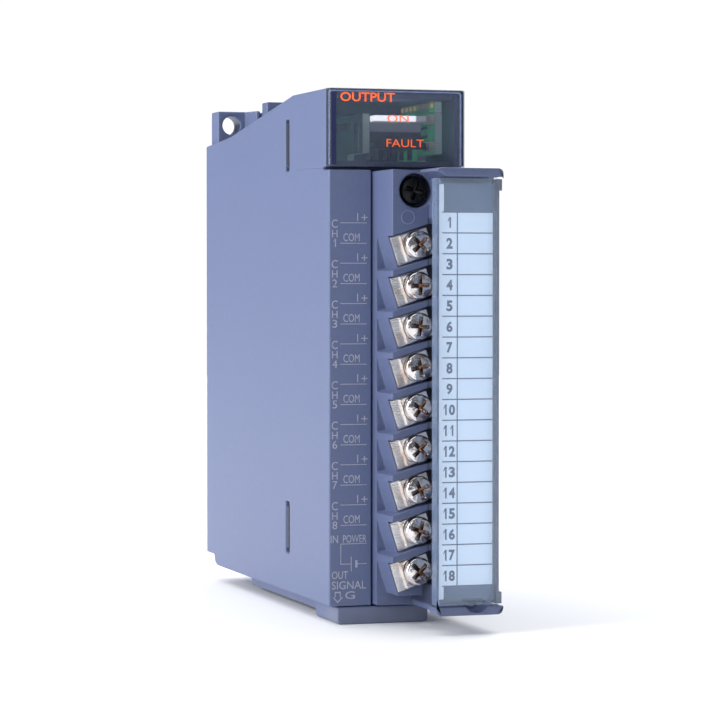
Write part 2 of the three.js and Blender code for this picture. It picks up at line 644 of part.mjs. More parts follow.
function makeBlockBody() {
  const rear = box([blockLeft, blockRight], [-BLOCK_REACH, blockRear], [BLOCK_UNDER, blockTop]);
  const rightColumn = box([stepX, blockRight], [-COLUMN_REACH, blockRear], [BLOCK_UNDER, blockTop]);
  const armX = [coverX[0] - GAP / 3, blockRight];
  const armShape = roundedRectangle(armX, [BLOCK_UNDER - 0.1, blockTop], 1);
  const arms = cut(prismY(armShape, [-ARM_REACH, 0]), box([-FAR, FAR], [-FAR, FAR], armInner));
  const front = -COLUMN_REACH - 1;
  const tools = [];
  for (let row = 0; row < ROWS; row += 1) {
    const rightPart = channelShape(row, shelfX - 1, channelRight);
    const leftPart = channelShape(row, blockLeft - 1, shelfX);
    tools.push(prismY(rightPart, [front, -SEAT_RIGHT]));
    tools.push(prismY(leftPart, [front, -SEAT_LEFT]));
    tools.push(prismY(wedgeShape(row), [-FAR, -CHANNEL_FLOOR]));
    if (row === ROWS - 1) {
      const foot = channelShape(row, blockLeft - 1, stepX, LAST_FOOT);
      tools.push(prismY(foot, [front, -SEAT_LEFT]));
      tools.push(box([-FAR, stepX], [front, -CHANNEL_FLOOR], [-FAR, LAST_FOOT]));
    }
  }
  terminals.forEach((terminal) => {
    const { x, z } = terminal;
    const washerFront = washerFronts[terminal.column];
    const boreEnd = washerFront + shankLength + 2 * GAP;
    tools.push(legHole(terminal, [washerFront, blockRear]));
    tools.push(barY(x, z, [washerFront, boreEnd], SHANK_RADIUS + GAP, 10));
    tools.push(barY(x, z, [front, washerFront], SCREW_HEAD_RADIUS + GAP, 16));
  });
  fixings.forEach(({ x, z, head, mouth }) => {
    const recess = head + FIXING_ROOM;
    tools.push(barY(x, z, [-FAR, seatFixing], recess, 20));
    tools.push(barY(x, z, [mouth - MOUTH_BEVEL, mouth + MOUTH_BEVEL], recess + 0.5, 20, recess));
    tools.push(barY(x, z, [seatFixing - 1, FAR], FIXING_SHANK + GAP, 12));
  });
  tools.push(box(widen(headerX, 2 * GAP), [3.1, FAR], widen(headerZ, 2 * GAP)));
  const pinRoom = HINGE_PIN_REACH + 0.1;
  armInner.forEach((z, i) => {
    const reach = i === 0 ? [z - pinRoom, z + 1] : [z - 1, z + pinRoom];
    tools.push(barZ(hinge.x, hinge.y, reach, HINGE_PIN + GAP, 12));
  });
  const notchRadius = ((NOTCH_WIDTH / 2) ** 2 + NOTCH_DEPTH ** 2) / (2 * NOTCH_DEPTH);
  const notchZ = armInner[0] - NOTCH_DEPTH + notchRadius;
  const notchX = blockRight - NOTCH_FROM_RIGHT;
  tools.push(barY(notchX, notchZ, [-FAR, -COLUMN_REACH - GAP], notchRadius, 24));
  return cut(join(rear, rightColumn, arms), ...tools);
}
piece("terminal_block_body", makeBlockBody(), blockPlastic());

// ---------------------------------------------------------------- terminals
// Contact plate with its clamping washer and its leg, drawn about the screw's axis.
// The washer's front face is at Y = 0.
function makePlate(column) {
  const side = column === 0 ? 1 : -1;
  const half = washerSide / 2;
  const tail = column === 0 ? PLATE_TAIL : 0;
  const rear = WASHER_THICK + PLATE_THICK;
  const legLength = legEnd - washerFronts[column];
  const leg = [side * half, side * (half - LEG_THICK)].sort((a, b) => a - b);
  return cut(
    join(
      box([-half, half], [0, rear], [-half + 0.2, half - 0.2]),
      box([-half - tail, half], [WASHER_THICK, rear], [-half, half]),
      box(leg, [WASHER_THICK, legLength], [-LEG_WIDTH / 2, LEG_WIDTH / 2]),
    ),
    barY(0, 0, [-1, rear + 1], SHANK_RADIUS + GAP, 12),
  );
}

// Pan-head screw with a cross recess. The underside of its head is at Y = -GAP.
function crossRecess(x, z, front, depth, reach, slot) {
  return join(
    box([x - reach / 2, x + reach / 2], [front - 1, front + depth], [z - slot / 2, z + slot / 2]),
    box([x - slot / 2, x + slot / 2], [front - 1, front + depth], [z - reach / 2, z + reach / 2]),
  );
}

function makeScrew(headRadius, headHeight, shankRadius, length) {
  const top = -GAP - headHeight;
  const crown = headHeight * 0.45;
  const head = join(
    barY(0, 0, [top, top + crown], headRadius * 0.62, 16, headRadius),
    barY(0, 0, [top + crown, -GAP], headRadius, 16),
    barY(0, 0, [-GAP - 0.5, length], shankRadius, 10),
  );
  return cut(head, crossRecess(0, 0, top, headHeight * 0.6, RECESS_ARM, RECESS_SLOT));
}

const plateShapes = [makePlate(0), makePlate(1)];
const screwShape = makeScrew(SCREW_HEAD_RADIUS, SCREW_HEAD_HEIGHT, SHANK_RADIUS, shankLength);
terminals.forEach(({ number, column, x, z }) => {
  const place = [x, washerFronts[column], z];
  piece("terminal_plate_" + number, plateShapes[column], nickel(), place, -SLANT);
  piece("terminal_screw_" + number, screwShape, nickel(), place);
});

fixings.forEach(({ name, x, z, head }) => {
  const length = pocketRear + INSERT_LENGTH - seatFixing;
  const body = makeScrew(head, FIXING_HEAD_HEIGHT, FIXING_SHANK, length);
  piece("fixing_screw_" + name, body, blackSteel(), [x, seatFixing, z]);
});

// ---------------------------------------------------------------- terminal cover and card
const coverZ = [armInner[0] + GAP, armInner[1] - GAP];
const coverFront = -ARM_REACH;
const fromEnd = (z, i, length) => (i === 0 ? [z, z + length] : [z - length, z]);
function makeCover() {
  const returnY = [coverFront, coverFront + COVER_RETURN];
  const skin = box(coverX, [coverFront, coverFront + COVER_SKIN], coverZ);
  const leftWall = box([coverX[0], coverX[0] + COVER_SIDE], returnY, coverZ);
  const rightWall = box([coverX[1] - COVER_SIDE, coverX[1]], returnY, coverZ);
  const ends = coverZ.map((z, i) => box(coverX, returnY, fromEnd(z, i, COVER_END)));
  const earX = [coverX[1] - 0.5, coverX[1] + COVER_RIGHT - 0.1];
  const ears = coverZ.map((z, i) =>
    box(earX, [coverFront + 0.4, returnY[1]], fromEnd(z, i, 2.3)),
  );
  const pin = barZ(hinge.x, hinge.y, widen(coverZ, HINGE_PIN_REACH), HINGE_PIN, 12);
  const pinKept = cut(pin, box([-FAR, FAR], [-FAR, FAR], widen(coverZ, -COVER_END)));
  return join(skin, leftWall, rightWall, ...ends, ...ears, pinKept);
}
piece("terminal_cover", makeCover(), clearPlastic());

const cardFront = coverFront + COVER_SKIN + GAP;
const card = box(
  widen(coverX, -COVER_SIDE - GAP),
  [cardFront, cardFront + CARD_THICK],
  widen(coverZ, -COVER_END - GAP),
);
piece("label_card", card, finish(0xd6e6fc, 0.6));

// ---------------------------------------------------------------- fixing hook
// A lever on a cross pin: its finger pad stands in front, its nose catches behind the case.
function makeHook() {
  const top = REAR_TOP + HOOK_RISE;
  const outline = shapeOf([
    [DEPTH - 14, top - 2.2],
    [DEPTH - 10.4, top - 4],
    [hookPin.y - 2.6, hookPin.z - 2],
    [hookPin.y + 2.4, hookPin.z - 2],
    [DEPTH + 1, hookPin.z - 2],
    [DEPTH + 1, hookPin.z - 3.2],
    [DEPTH + 2.4, hookPin.z - 2],
    [DEPTH + 2.4, hookPin.z + 1.2],
    [DEPTH - 1, top - 2],
    [DEPTH - 10, top - 2],
    [DEPTH - 10, top],
    [DEPTH - 14, top],
  ]);
  const pinHole = barX(hookPin.y, hookPin.z, [-FAR, FAR], HOOK_PIN + GAP, 12);
  return cut(prismX(outline, hookX), pinHole);
}
piece("fixing_hook", makeHook(), casePlastic());
const pinX = widen(guardX, GUARD_WALL - 0.1);
piece("hook_pin", barX(hookPin.y, hookPin.z, pinX, HOOK_PIN, 12), finish(0xb9bcc2, 0.3, 1));

export default group;
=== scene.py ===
import math

import bmesh
import bpy
import numpy as np
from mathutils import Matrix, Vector


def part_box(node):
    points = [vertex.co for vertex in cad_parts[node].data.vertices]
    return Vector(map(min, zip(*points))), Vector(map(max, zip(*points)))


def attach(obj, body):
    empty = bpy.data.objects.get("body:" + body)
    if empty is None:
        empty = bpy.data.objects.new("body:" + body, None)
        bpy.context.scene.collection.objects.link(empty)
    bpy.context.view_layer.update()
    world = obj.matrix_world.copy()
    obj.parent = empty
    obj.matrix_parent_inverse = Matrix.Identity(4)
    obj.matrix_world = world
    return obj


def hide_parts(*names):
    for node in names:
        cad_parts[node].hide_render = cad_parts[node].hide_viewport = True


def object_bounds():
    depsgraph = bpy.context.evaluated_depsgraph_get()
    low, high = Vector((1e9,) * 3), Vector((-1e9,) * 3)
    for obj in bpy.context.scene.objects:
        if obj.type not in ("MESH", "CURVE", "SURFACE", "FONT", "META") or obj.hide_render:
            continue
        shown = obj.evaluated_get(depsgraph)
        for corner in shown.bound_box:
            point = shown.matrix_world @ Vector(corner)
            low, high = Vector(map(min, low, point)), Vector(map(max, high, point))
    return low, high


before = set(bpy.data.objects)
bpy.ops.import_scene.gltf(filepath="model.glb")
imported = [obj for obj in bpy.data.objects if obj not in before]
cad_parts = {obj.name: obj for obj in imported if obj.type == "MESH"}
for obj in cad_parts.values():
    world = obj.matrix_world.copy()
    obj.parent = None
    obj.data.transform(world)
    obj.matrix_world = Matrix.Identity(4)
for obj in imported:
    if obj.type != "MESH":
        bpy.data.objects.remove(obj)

cad_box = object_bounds()

# ---------------------------------------------------------------- camera
# A long lens stands to the left of the module's front, a little above its middle, so the
# whole left side shows in steep perspective beside the narrow front.
camera_place = Vector((-0.17168, -0.59570, 0.01267))
camera_yaw = math.radians(17.98)
camera_pitch = math.radians(1.62)
sight = Vector((
    math.sin(camera_yaw) * math.cos(camera_pitch),
    math.cos(camera_yaw) * math.cos(camera_pitch),
    -math.sin(camera_pitch),
))
camera = bpy.data.objects.new("camera", bpy.data.cameras.new("camera"))
camera.data.sensor_width = 36
camera.data.lens = 140.54
camera.data.clip_start = 0.01
camera.data.clip_end = 100
camera.location = camera_place
camera.rotation_mode = "QUATERNION"
camera.rotation_quaternion = sight.to_track_quat("-Z", "Y")
bpy.context.scene.collection.objects.link(camera)
bpy.context.scene.camera = camera
bpy.context.scene.view_settings.view_transform = "Standard"

# ---------------------------------------------------------------- studio light
# A white room with one large softbox at the left, a weaker one in front, one overhead and a
# low one behind. The room itself shows white but lights the module only faintly.
world = bpy.data.worlds.new("studio")
world.use_nodes = True
bpy.context.scene.world = world
room = world.node_tree
backdrop_light = room.nodes["Background"]
backdrop_light.inputs["Color"].default_value = (1.0, 1.0, 1.0, 1.0)
backdrop_light.inputs["Strength"].default_value = 1.04
soft_room = room.nodes.new("ShaderNodeBackground")
soft_room.inputs["Color"].default_value = (0.80, 0.88, 1.0, 1.0)
soft_room.inputs["Strength"].default_value = 0.20
seen_directly = room.nodes.new("ShaderNodeLightPath")
room_mix = room.nodes.new("ShaderNodeMixShader")
room.links.new(seen_directly.outputs["Is Camera Ray"], room_mix.inputs["Fac"])
room.links.new(soft_room.outputs["Background"], room_mix.inputs[1])
room.links.new(backdrop_light.outputs["Background"], room_mix.inputs[2])
room.links.new(room_mix.outputs["Shader"], room.nodes["World Output"].inputs["Surface"])


def softbox(name, place, width, height, power, colour=(1.0, 1.0, 1.0), target=(0.0, -0.04, 0.0)):
    """A rectangular area light at a place, turned to face a target."""
    lamp = bpy.data.lights.new(name, "AREA")
    lamp.shape = "RECTANGLE"
    lamp.size = width
    lamp.size_y = height
    lamp.energy = power
    lamp.color = colour
    box = bpy.data.objects.new(name, lamp)
    box.location = place
    box.rotation_mode = "QUATERNION"
    box.rotation_quaternion = (Vector(target) - Vector(place)).to_track_quat("-Z", "Y")
    bpy.context.scene.collection.objects.link(box)


softbox("left_softbox", (-1.42, -0.22, 0.35), 1.0, 1.3, 28.0)
softbox("front_softbox", (-0.45, -1.7, 0.65), 0.5, 0.5, 2.6)
softbox("overhead_softbox", (0.0, 0.85, 1.6), 2.8, 2.6, 54.0, target=(0.0, 0.85, 0.0))
softbox("rear_softbox", (1.1, 1.3, 0.7), 1.0, 1.0, 20.0)


# ---------------------------------------------------------------- shader tools and the floor
# A pale matt floor under the module: a disc that ends where the white room takes over. The two
# classes that every finish below is written with start here.
class Value:
    """A varying number: wraps a socket, and each arithmetic operator adds its Math node."""

    def __init__(self, finish, socket):
        self.finish = finish
        self.socket = socket

    def math(self, operation, first, second):
        return self.finish.node("ShaderNodeMath", {"operation": operation}, {0: first, 1: second})

    def __add__(self, other):
        return self.math("ADD", self, other)

    __radd__ = __add__

    def __sub__(self, other):
        return self.math("SUBTRACT", self, other)

    def __rsub__(self, other):
        return self.math("SUBTRACT", other, self)

    def __mul__(self, other):
        return self.math("MULTIPLY", self, other)

    __rmul__ = __mul__

    def __abs__(self):
        return self.math("ABSOLUTE", self, 0.0)


class Finish:
    """One material. Constant values go on the shader's own sockets by name."""

    def __init__(self, name, **constants):
        self.material = bpy.data.materials.new(name)
        self.material.use_nodes = True
        self.tree = self.material.node_tree
        self.shader = self.tree.nodes["Principled BSDF"]
        for socket, value in constants.items():
            self.feed(self.shader.inputs[socket.replace("_", " ")], value)
        self.place = self.node("ShaderNodeTexCoord", {}, {}, "Object")

    def feed(self, socket, value):
        if isinstance(value, Value):
            self.tree.links.new(value.socket, socket)
        elif isinstance(value, tuple) and socket.type == "RGBA":
            socket.default_value = (*value, 1.0)
        else:
            socket.default_value = value

    def node(self, kind, settings, inputs, output=0):
        made = self.tree.nodes.new(kind)
        for setting, value in settings.items():
            if setting == "stops":
                for element, (position, shade) in zip(made.color_ramp.elements, value):
                    element.position = position
                    element.color = (shade, shade, shade, 1.0)
            else:
                setattr(made, setting, value)
        for socket, value in inputs.items():
            self.feed(made.inputs[socket], value)
        return Value(self, made.outputs[output])

    def noise(self, scale, detail=3.0, vector=None):
        inputs = {"Vector": vector or self.place, "Scale": scale, "Detail": detail}
        return self.node("ShaderNodeTexNoise", {}, inputs, "Fac")

    def stretched(self, scale):
        """Object coordinates scaled along each axis."""
        return self.node("ShaderNodeMapping", {}, {"Vector": self.place, "Scale": scale})

    def axis(self, letter):
        return self.node("ShaderNodeSeparateXYZ", {}, {0: self.place}, letter)

    def ramp(self, value, low, high):
        """0 below low, 1 above high, and even in between."""
        settings = {"interpolation_type": "SMOOTHSTEP"}
        inputs = {"Value": value, "From Min": low, "From Max": high}
        return self.node("ShaderNodeMapRange", settings, inputs)

    def blend(self, factor, first, second):
        """Mixes two colours."""
        settings = {"data_type": "RGBA", "clamp_factor": True}
        return self.node("ShaderNodeMix", settings, {0: factor, 6: first, 7: second}, 2)

    def bump(self, height, distance, strength=1.0):
        inputs = {"Strength": strength, "Distance": distance, "Height": height}
        normal = self.node("ShaderNodeBump", {}, inputs, "Normal")
        self.feed(self.shader.inputs["Normal"], normal)

    def set(self, **links):
        for socket, value in links.items():
            self.feed(self.shader.inputs[socket.replace("_", " ")], value)
        return self


def grid_mesh(name, vertices, faces):
    """A mesh from an array of corners and an array of faces, all with the same corner count."""
    mesh = bpy.data.meshes.new(name)
    mesh.from_pydata(vertices.tolist(), [], faces.tolist())
    mesh.validate()
    return mesh


def shown(name, mesh, finish):
    """A new object for a mesh, at the origin, in one finish."""
    made = bpy.data.objects.new(name, mesh)
    mesh.materials.clear()
    mesh.materials.append(finish.material)
    bpy.context.scene.collection.objects.link(made)
    return made


floor_radius = 1.3
floor_turn = np.linspace(0.0, 2 * math.pi, 96, endpoint=False)
floor_corners = np.column_stack([
    floor_radius * np.cos(floor_turn),
    floor_radius * np.sin(floor_turn),
    np.full(floor_turn.size, cad_box[0].z),
])
floor_faces = np.arange(floor_turn.size)[None, :]
floor_finish = Finish("pale_floor", Roughness=0.95, Specular_IOR_Level=0.0)
floor_cloud = floor_finish.noise(3.0)
floor_finish.set(Base_Color=floor_finish.blend(floor_cloud, (0.90, 0.90, 0.91), (0.93, 0.93, 0.94)))
floor = shown("floor", grid_mesh("floor", floor_corners, floor_faces), floor_finish)

# ---------------------------------------------------------------- case: housing and right side cover
# Two shells of blue-grey ABS, moulded with a fine spark-eroded texture and snapped together:
# the housing holds everything, and the right cover's long arms catch in its left wall.
window_low, window_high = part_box("led_window")
MM = 0.001
case_height = 98.0


def at(x, y, z):
    """A point given in millimetres from the case's left face, window front and underside."""
    return np.array([
        window_low.x + x * MM,
        window_low.y + y * MM,
        window_high.z + (z - case_height) * MM,
    ])


def from_case(point):
    """A point of the frame in millimetres, measured the same way."""
    return (np.array(point) - at(0.0, 0.0, 0.0)) / MM


def moulded(node, radius, finish, body, segments=2, keep=0.02 * MM, slide=True):
    """A CAD piece with moulded edges. Its triangles are merged into flat faces, which are cut
    again into even triangles, because a flat face round a hole would fold over itself. Each
    edge that turns by more than 25 degrees is rounded to the radius. Without slide, a rounded
    corner keeps its place instead of moving along its neighbour."""
    work = bmesh.new()
    work.from_mesh(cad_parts[node].data)
    bmesh.ops.remove_doubles(work, verts=work.verts, dist=keep)
    bmesh.ops.dissolve_degenerate(work, edges=work.edges, dist=keep)
    bmesh.ops.dissolve_limit(
        work, angle_limit=math.radians(1.0), verts=work.verts, edges=work.edges
    )
    bmesh.ops.triangulate(work, faces=work.faces, ngon_method="BEAUTY")
    mesh = bpy.data.meshes.new(node + "_moulded")
    work.to_mesh(mesh)
    work.free()
    mesh.shade_smooth()
    piece = shown(node + "_moulded", mesh, finish)
    rounding = piece.modifiers.new("rounded_edges", "BEVEL")
    rounding.width = radius
    rounding.segments = segments
    rounding.limit_method = "ANGLE"
    rounding.angle_limit = math.radians(25)
    rounding.use_clamp_overlap = False
    rounding.loop_slide = slide
    rounding.miter_outer = "MITER_ARC"
    even = piece.modifiers.new("even_normals", "WEIGHTED_NORMAL")
    even.weight = 100
    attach(piece, body)
    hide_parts(node)
    return piece


def moulded_plastic(name, dark, light, grain, roughness):
    """Spark-eroded plastic: cloudy colour, a millimetre mottle, and fine grain in the bump.
    Its colour is kept as tone, so that a piece may paint light or shade into it."""
    plastic = Finish(name, IOR=1.5)
    cloud = plastic.noise(28.0, 4.0)
    mottle = plastic.ramp(plastic.noise(950.0, 3.0), 0.30, 0.70)
    speck = plastic.noise(2600.0, 2.0)
    tone = plastic.blend(cloud, dark, light)
    tone = plastic.blend(mottle * 0.35, tone, tuple(c * 0.86 for c in dark))
    plastic.tone = plastic.blend(speck * 0.22, tone, tuple(c * 1.5 for c in light))
    plastic.set(Base_Color=plastic.tone, Roughness=roughness + cloud * 0.04 - mottle * 0.05)
    plastic.bump(speck + mottle * 0.4, grain)
    return plastic


case_look = ((0.112, 0.141, 0.257), (0.122, 0.153, 0.278), 0.014 * MM, 0.48)
case_plastic = moulded_plastic("case_plastic", *case_look)

housing_plastic = moulded_plastic("housing_plastic", *case_look)
# Painted light: the front of the foot is painted a paler grey, standing in for light thrown up from the
# floor.
foot_painted_light = (0.155, 0.178, 0.272)
foot = housing_plastic.ramp(housing_plastic.axis("Z"), at(0, 0, -0.2)[2], at(0, 0, -0.8)[2])
foot_front = housing_plastic.ramp(housing_plastic.axis("Y"), at(0, 9, 0)[1], at(0, 5, 0)[1])
housing_plastic.set(
    Base_Color=housing_plastic.blend(foot * foot_front, housing_plastic.tone, foot_painted_light)
)

cover_plastic = moulded_plastic("cover_plastic", *case_look)
# Painted shade: the snap arms' tips, seen through the latch windows in the housing's left wall, are
# painted near black.
arm_tip_painted_shade = (0.020, 0.024, 0.05)
arm_tip = cover_plastic.ramp(cover_plastic.axis("X"), at(3.0, 0, 0)[0], at(1.6, 0, 0)[0])
cover_plastic.set(Base_Color=cover_plastic.blend(arm_tip, cover_plastic.tone, arm_tip_painted_shade))

case_edge = 0.32 * MM
moulded("housing", case_edge, housing_plastic, "module", 3, slide=False)
moulded("right_cover", case_edge, cover_plastic, "module", 3)


# ---------------------------------------------------------------- printed legend on the case
# Pale grey pad printing on the strip left of the terminals: a channel number and the names of
# its two terminals for each slanted row, then the supply, range and earth marks.
def lettering(words, low, high, y, weight=0.0):
    """Characters cut from a flat sheet, fitted to a rectangle in X and Z, facing forwards."""
    text = bpy.data.curves.new("words", "FONT")
    text.body = words
    text.offset = weight
    text.resolution_u = 3
    carrier = bpy.data.objects.new("words", text)
    bpy.context.scene.collection.objects.link(carrier)
    bpy.context.view_layer.update()
    drawn = bpy.data.meshes.new_from_object(carrier.evaluated_get(
        bpy.context.evaluated_depsgraph_get()
    ))
    bpy.data.objects.remove(carrier)
    corners = np.empty(len(drawn.vertices) * 3)
    drawn.vertices.foreach_get("co", corners)
    flat = corners.reshape(-1, 3)[:, :2]
    share = (flat - flat.min(axis=0)) / (flat.max(axis=0) - flat.min(axis=0))
    place = np.array(low) + share * (np.array(high) - low)
    upright = np.column_stack([place[:, 0], np.zeros(len(place)), place[:, 1]])
    faces = [tuple(polygon.vertices) for polygon in drawn.polygons]
    return at(0.0, y, 0.0) + upright * MM, faces


def bar(low, high, y):
    """A flat rectangle of ink between two corners in X and Z, facing forwards."""
    a = at(low[0], y, low[1])
    b = at(high[0], y, high[1])
    corners = np.array([a, (b[0], a[1], a[2]), b, (a[0], a[1], b[2])])
    return corners, [(0, 1, 2, 3)]


def printed(name, marks, finish, body, thickness=0.02 * MM):
    """One skin of ink from many marks, given its thickness towards the front."""
    corners = []
    faces = []
    for points, polygons in marks:
        start = len(corners)
        corners.extend(points.tolist())
        faces.extend(tuple(start + i for i in polygon) for polygon in polygons)
    mesh = bpy.data.meshes.new(name)
    mesh.from_pydata(corners, [], faces)
    work = bmesh.new()
    work.from_mesh(mesh)
    bmesh.ops.remove_doubles(work, verts=work.verts, dist=1e-7)
    work.normal_update()
    turned = [face for face in work.faces if face.normal.y > 0]
    bmesh.ops.reverse_faces(work, faces=turned)
    work.to_mesh(mesh)
    work.free()
    ink = shown(name, mesh, finish)
    skin = ink.modifiers.new("ink_thickness", "SOLIDIFY")
    skin.thickness = thickness
    skin.offset = 1.0
    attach(ink, body)
    return ink


def ink(name, colour, worn, painted_glow=0.0):
    """Pad-printing ink, a little uneven where the pad lifted. A glow gives it painted light, and the
    same finish paints the shade band at the window's left edge.
    """
    made = Finish(name, Roughness=0.5, Emission_Strength=painted_glow)
    patch = made.ramp(made.noise(900.0, 3.0), 0.50, 0.75)
    tone = made.blend(patch, colour, worn)
    made.set(Base_Color=tone)
    if painted_glow:
        made.set(Emission_Color=tone)
    return made


def figure_one(low, high, y, stroke):
    """The figure 1: an upright stroke at the right and a short slanting flag at its top left."""
    stem = bar((high[0] - stroke, low[1]), high, y)
    drop = 0.30 * (high[1] - low[1])
    flag = np.array([
        at(high[0] - stroke, y, high[1]),
        at(low[0], y, high[1] - drop),
        at(low[0], y, high[1] - drop - stroke),
        at(high[0] - stroke, y, high[1] - 1.4 * stroke),
    ])
    return [stem, (flag, [(0, 1, 2, 3)])]


def outline(points, centre, share, y):
    """A band of ink between an outline and the same outline shrunk towards a centre."""
    outer = np.array(points)
    inner = np.array(centre) + (outer - centre) * share
    flat = np.concatenate([outer, inner])
    corners = at(0.0, y, 0.0) + np.column_stack([flat[:, 0], np.zeros(len(flat)), flat[:, 1]]) * MM
    count = len(outer)
    faces = [(i, (i + 1) % count, count + (i + 1) % count, count + i) for i in range(count)]
    return corners, faces


channel_count = 8
pitch = 7.62
first_line_z = 72.56
second_line_drop = 3.86
line_left, line_right = 2.25, 7.46
ink_y = -0.004
line = 0.065
legend_marks = []
for channel in range(channel_count):
    upper = first_line_z - channel * pitch
    lower = upper - second_line_drop
    legend_marks += [
        bar((line_left, upper - line), (line_right, upper + line), ink_y),
        bar((line_left, lower - line), (line_right, lower + line), ink_y),
        bar((5.58, upper + 0.35), (5.76, upper + 1.85), ink_y),
        lettering("+", (6.42, upper + 0.45), (7.62, upper + 1.60), ink_y),
        lettering("COM", (2.84, lower + 0.36), (6.06, lower + 1.88), ink_y),
        lettering("C", (0.52, upper - 0.96), (1.72, upper + 0.60), ink_y),
        lettering("H", (0.60, upper - 2.74), (1.68, upper - 1.34), ink_y),
    ]
    figure_low = (0.66, upper - 4.56)
    figure_high = (1.62, upper - 3.06)
    if channel == 0:
        legend_marks += figure_one((0.90, figure_low[1]), (1.36, figure_high[1]), ink_y, 0.18)
    else:
        legend_marks.append(lettering(str(channel + 1), figure_low, figure_high, ink_y))

supply_line = 11.83
cell_line = 8.0
legend_marks += [
    lettering("IN", (0.32, 12.05), (1.76, 13.5), ink_y),
    lettering("POWER", (2.76, 12.05), (7.42, 13.5), ink_y),
    bar((line_left, supply_line - line), (line_right, supply_line + line), ink_y),
    bar((line_left, cell_line - line), (2.38, supply_line - line), ink_y),
    bar((2.38, cell_line - line), (4.32, cell_line + line), ink_y),
    bar((4.32, cell_line - 1.4), (4.45, cell_line + 1.4), ink_y),
    bar((5.20, cell_line - 0.69), (5.62, cell_line + 0.69), ink_y),
    bar((5.62, cell_line - line), (line_right, cell_line + line), ink_y),
    lettering("OUT", (0.54, 5.22), (3.72, 6.66), ink_y),
    lettering("SIGNAL", (0.54, 3.24), (7.34, 4.76), ink_y),
    lettering("G", (3.16, 1.36), (5.12, 2.80), ink_y),
]
arrow_stem = [(1.12, 1.75), (1.12, 2.8), (2.28, 2.8), (2.28, 1.75)]
arrow_head = [(2.74, 1.75), (1.70, 0.68), (0.68, 1.75)]
legend_marks.append(outline(arrow_stem + arrow_head, (1.70, 1.75), 0.76, ink_y))
legend_ink = ink("legend_ink", (0.42, 0.43, 0.50), (0.30, 0.31, 0.38))
printed("case_legend", legend_marks, legend_ink, "module")

# ---------------------------------------------------------------- circuit boards
# Two glass-epoxy boards with green solder resist stand on edge inside the case. Their front
# tongues reach over the terminal block to the indicator window.
def solder_resist(node, ground, copper, painted_glow):
    """Green resist over a fine pattern of tracks. Where X lies between the board's two faces,
    the bare glass-epoxy edge shows. The resist and its edge glow faintly: painted light that keeps the
    boards in view behind the smoky window."""
    low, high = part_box(node)
    made = Finish(node + "_resist", IOR=1.5, Coat_Weight=0.3, Coat_Roughness=0.15)
    made.shader.inputs["Emission Strength"].default_value = painted_glow
    turned = made.node(
        "ShaderNodeMapping",
        {},
        {"Vector": made.place, "Rotation": (0.0, math.radians(90), math.radians(90))},
    )
    track = made.node(
        "ShaderNodeTexBrick",
        {"offset": 0.5, "squash": 0.6},
        {
            "Vector": turned,
            "Color1": (0.0, 0.0, 0.0),
            "Color2": (0.0, 0.0, 0.0),
            "Mortar": (1.0, 1.0, 1.0),
            "Scale": 420.0,
            "Mortar Size": 0.05,
        },
    )
    weave = made.noise(1500.0, 2.0)
    patch = made.ramp(made.noise(150.0, 2.0), 0.42, 0.58)
    resist = made.blend(track, ground, copper)
    resist = made.blend(patch * 0.55, resist, tuple(c * 0.55 for c in ground))
    from_middle = abs(made.axis("X") - (low.x + high.x) / 2)
    half = (high.x - low.x) / 2
    on_edge = made.ramp(from_middle, half - 0.05 * MM, half - 0.15 * MM)
    made.set(
        Base_Color=made.blend(on_edge, resist, (0.34, 0.42, 0.40)),
        Emission_Color=made.blend(on_edge, resist, (0.10, 0.14, 0.15)),
        Roughness=0.32 + weave * 0.2,
    )
    made.bump(track + weave * 0.4, 0.03 * MM)
    return made


def dress(node, finish):
    """Gives a CAD piece that is shown as it is its finish."""
    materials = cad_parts[node].data.materials
    materials.clear()
    materials.append(finish.material)


main_resist = solder_resist("main_board", (0.020, 0.165, 0.085), (0.045, 0.26, 0.13), 0.95)
output_resist = solder_resist("output_board", (0.016, 0.070, 0.066), (0.03, 0.11, 0.095), 0.70)
dress("main_board", main_resist)
dress("output_board", output_resist)


# ---------------------------------------------------------------- parts soldered to the boards
# Chips and a converter in black resin with laser-dull tops, a sleeved capacitor, a stacking
# link between the boards, and rows of small chip resistors and pads near the window.
def speckled(name, colour, fleck, scale, roughness, **constants):
    """A fine-grained finish: one colour flecked with another."""
    made = Finish(name, **constants)
    grain = made.noise(scale, 3.0)
    made.set(
        Base_Color=made.blend(made.ramp(grain, 0.35, 0.7), colour, fleck),
        Roughness=roughness + grain * 0.15,
    )
    made.bump(grain, 0.01 * MM)
    return made


chip_resin = speckled("chip_resin", (0.012, 0.012, 0.014), (0.03, 0.03, 0.033), 3000.0, 0.4)
black_moulding = speckled(
    "black_moulding", (0.012, 0.013, 0.016), (0.024, 0.025, 0.03), 1800.0, 0.38
)
sleeve = speckled("capacitor_sleeve", (0.02, 0.03, 0.09), (0.03, 0.045, 0.12), 700.0, 0.22)
dress("dc_converter", chip_resin)
dress("control_chip", chip_resin)
dress("output_chip", chip_resin)
dress("capacitor", sleeve)
dress("board_link", black_moulding)
dress("terminal_header", black_moulding)

BLOCK_FACES = np.array([
    [0, 3, 2, 1],
    [4, 5, 6, 7],
    [0, 1, 5, 4],
    [1, 2, 6, 5],
    [2, 3, 7, 6],
    [3, 0, 4, 7],
])
BLOCK_CORNERS = np.array([
    [0, 0, 0], [1, 0, 0], [1, 1, 0], [0, 1, 0], [0, 0, 1], [1, 0, 1], [1, 1, 1], [0, 1, 1],
])


